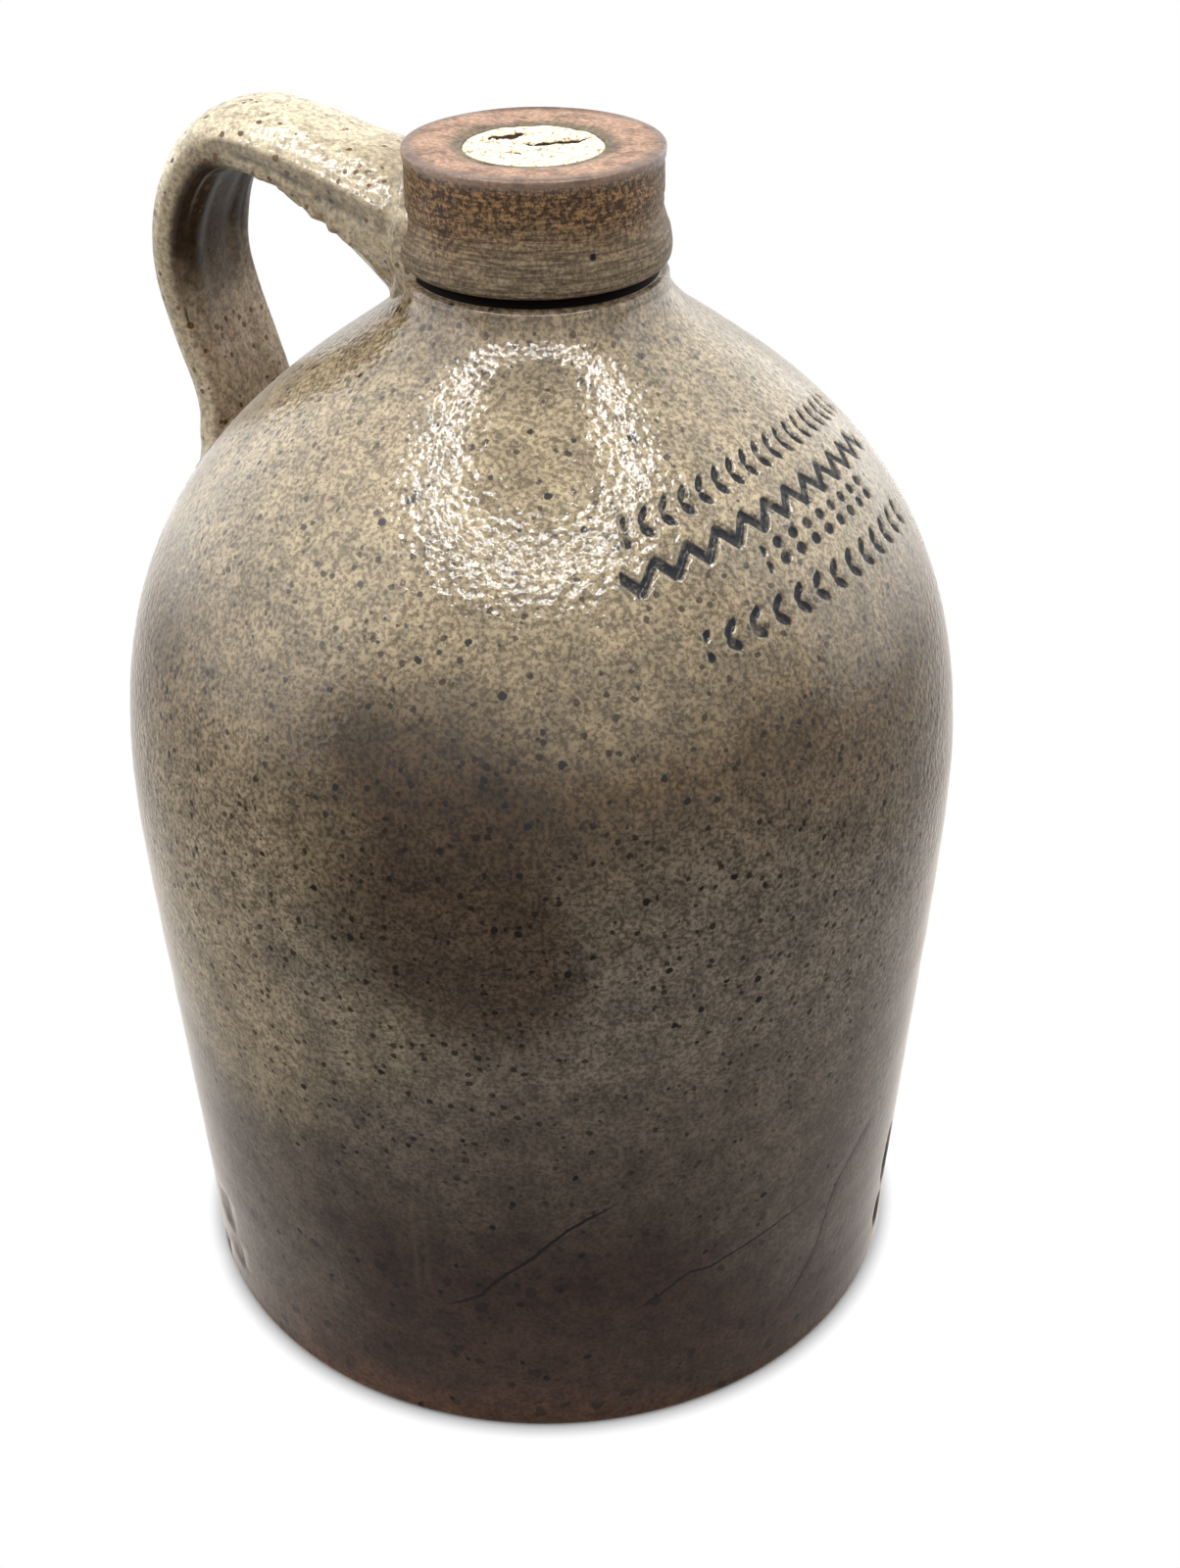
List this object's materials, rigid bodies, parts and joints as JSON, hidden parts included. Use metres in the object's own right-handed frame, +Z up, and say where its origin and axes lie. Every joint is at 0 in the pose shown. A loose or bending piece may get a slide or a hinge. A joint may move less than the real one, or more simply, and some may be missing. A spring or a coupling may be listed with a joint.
{
  "type": "stoneware jug",
  "caption": "Wheel-thrown salt glazed stoneware jug with a rounded shoulder, a thick collar round the mouth, a pulled strap handle and a lift-out cork stopper.",
  "frame": {"origin": "centre of the flat foot, on the jug's axis", "axes": "+Z up along the jug's axis, out through the mouth; the strap handle points along -X, and XZ is the plane of symmetry"},
  "size_m": [0.1826, 0.1826, 0.2658],
  "materials": {
    "body_glaze": "khaki grey salt glaze with an orange-peel surface, brown specks and a darker satin foot",
    "collar_glaze": "brown mottled salt glaze, with a toasted orange-brown rim",
    "handle_glaze": "light khaki salt glaze, glossy on top and dull inside",
    "cork": "dry natural cork with dark cracks and pores"
  },
  "bodies": {
    "jug": {"jug_body": "body_glaze", "collar": "collar_glaze", "strap_handle": "handle_glaze"},
    "cork": {"cork_stopper": "cork"}
  },
  "joints": [
    {"name": "cork_pull", "type": "slide", "parent": "jug", "child": "cork", "axis": [0, 0, 1], "range_m": [0, 0.045]}
  ]
}
